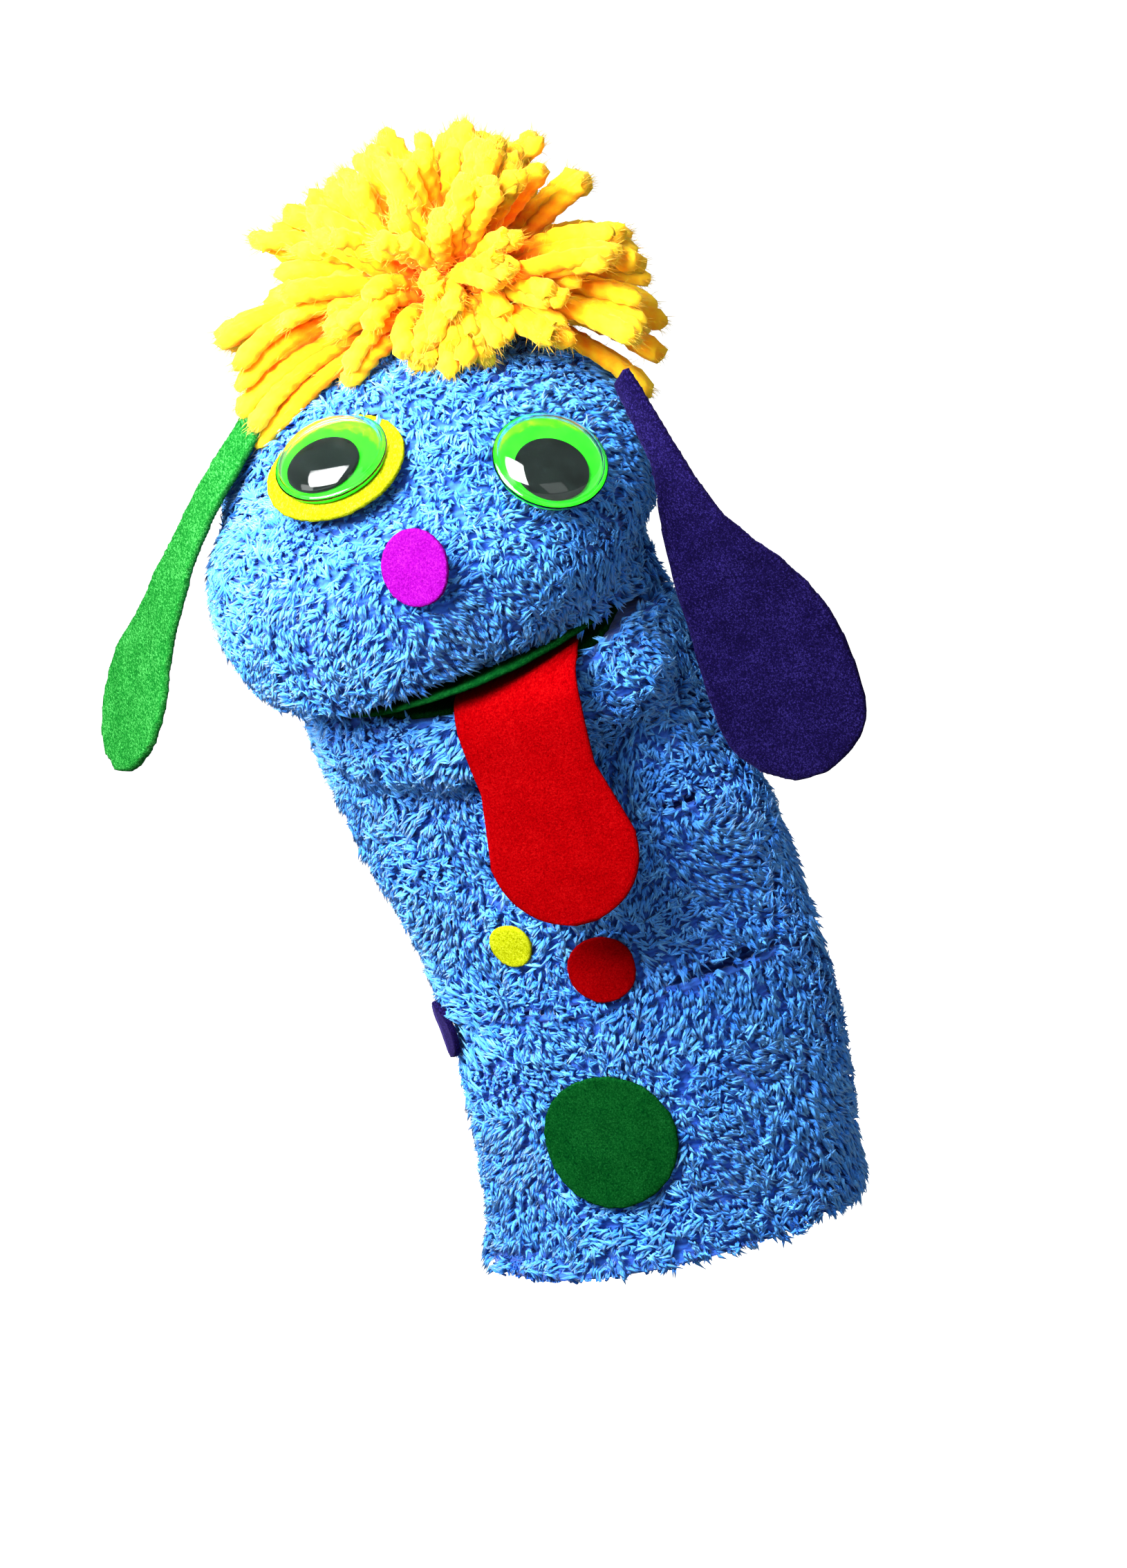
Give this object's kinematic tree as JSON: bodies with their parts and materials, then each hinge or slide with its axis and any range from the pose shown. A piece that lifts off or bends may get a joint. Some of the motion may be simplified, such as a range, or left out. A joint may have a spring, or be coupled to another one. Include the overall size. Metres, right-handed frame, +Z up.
{
  "type": "sock puppet",
  "caption": "Fluffy sock puppet worn on the hand, with an opening mouth, felt ears, tongue and spots, wiggle eyes and a yarn pompom.",
  "frame": {"origin": "centre of the arm opening, in the plane of the sock's turned edge", "axes": "+Z up the arm to the crown, -Y the way the face looks, +X to the side of the purple ear"},
  "size_m": [0.1669, 0.0968, 0.251],
  "materials": {
    "sock_knit": "fluffy chenille knit, blue, lighter at the tips of the pile",
    "felt_green": "craft felt, dark green",
    "felt_light_green": "craft felt, bright green",
    "felt_red": "craft felt, red",
    "felt_magenta": "craft felt, magenta",
    "felt_yellow": "craft felt, yellow",
    "felt_purple": "craft felt, dark purple with a sheen",
    "yarn_yellow": "plied acrylic yarn, yellow",
    "eye_green": "bright green plastic",
    "eye_black": "black plastic",
    "eye_clear": "clear blown plastic dome"
  },
  "bodies": {
    "sleeve": {"cuff_welt": "sock_knit", "sock_leg": "sock_knit", "sock_tilt_fold": "sock_knit", "spot_green": "felt_green"},
    "wrist": {"sock_wrist_band": "sock_knit", "sock_nod_fold": "sock_knit", "spot_red": "felt_red", "spot_yellow": "felt_yellow", "spot_purple": "felt_purple"},
    "palm": {"sock_neck": "sock_knit", "sock_chin_fold": "sock_knit", "sock_nape_fold": "sock_knit"},
    "jaw": {"sock_jaw": "sock_knit", "mouth_lining_lower": "felt_green", "tongue_root": "felt_red"},
    "head": {"sock_head": "sock_knit", "mouth_lining_upper": "felt_green", "nose": "felt_magenta", "eye_patch": "felt_yellow", "eye_left_backing": "eye_green", "eye_left_dome": "eye_clear", "eye_right_backing": "eye_green", "eye_right_dome": "eye_clear", "pompom_yarn": "yarn_yellow", "pompom_tie": "yarn_yellow"},
    "tongue_flap": {"tongue": "felt_red"},
    "left_pupil": {"eye_left_pupil": "eye_black"},
    "right_pupil": {"eye_right_pupil": "eye_black"},
    "green_ear_flap": {"ear_green": "felt_light_green"},
    "purple_ear_flap": {"ear_purple": "felt_purple"}
  },
  "joints": [
    {"name": "wrist_tilt", "type": "hinge", "parent": "sleeve", "child": "wrist", "pos_m": [0.006, 0, 0.052], "axis": [0, 1, 0], "range_deg": [-15, 15], "deforming": ["sock_tilt_fold"]},
    {"name": "wrist_nod", "type": "hinge", "parent": "wrist", "child": "palm", "pos_m": [0, 0, 0.082], "axis": [1, 0, 0], "range_deg": [-25, 25], "deforming": ["sock_nod_fold"]},
    {"name": "head_lift", "type": "hinge", "parent": "palm", "child": "head", "pos_m": [0, 0.006, 0.143], "axis": [-1, 0, 0], "range_deg": [0, 30], "deforming": ["sock_nape_fold"]},
    {"name": "jaw_drop", "type": "hinge", "parent": "palm", "child": "jaw", "pos_m": [0, 0.006, 0.143], "axis": [1, 0, 0], "range_deg": [0, 10], "deforming": ["sock_chin_fold"]},
    {"name": "tongue_swing", "type": "hinge", "parent": "jaw", "child": "tongue_flap", "pos_m": [0.01, -0.046, 0.1372], "axis": [-1, 0, 0], "range_deg": [0, 60]},
    {"name": "left_pupil_spin", "type": "hinge", "parent": "head", "child": "left_pupil", "pos_m": [-0.016, -0.0372, 0.191], "axis": [-0.0201, -0.4511, 0.8922], "continuous": true},
    {"name": "right_pupil_spin", "type": "hinge", "parent": "head", "child": "right_pupil", "pos_m": [0.028, -0.0348, 0.1815], "axis": [0.5009, -0.5209, 0.6912], "continuous": true},
    {"name": "green_ear_lift", "type": "hinge", "parent": "head", "child": "green_ear_flap", "pos_m": [-0.0335, -0.0125, 0.203], "axis": [0, 1, 0], "range_deg": [0, 45]},
    {"name": "purple_ear_lift", "type": "hinge", "parent": "head", "child": "purple_ear_flap", "pos_m": [0.042, -0.0095, 0.191], "axis": [0, -1, 0], "range_deg": [0, 70]}
  ],
  "couplings": [
    {"joint": "jaw_drop", "follows": "head_lift", "ratio": 0.3333}
  ]
}
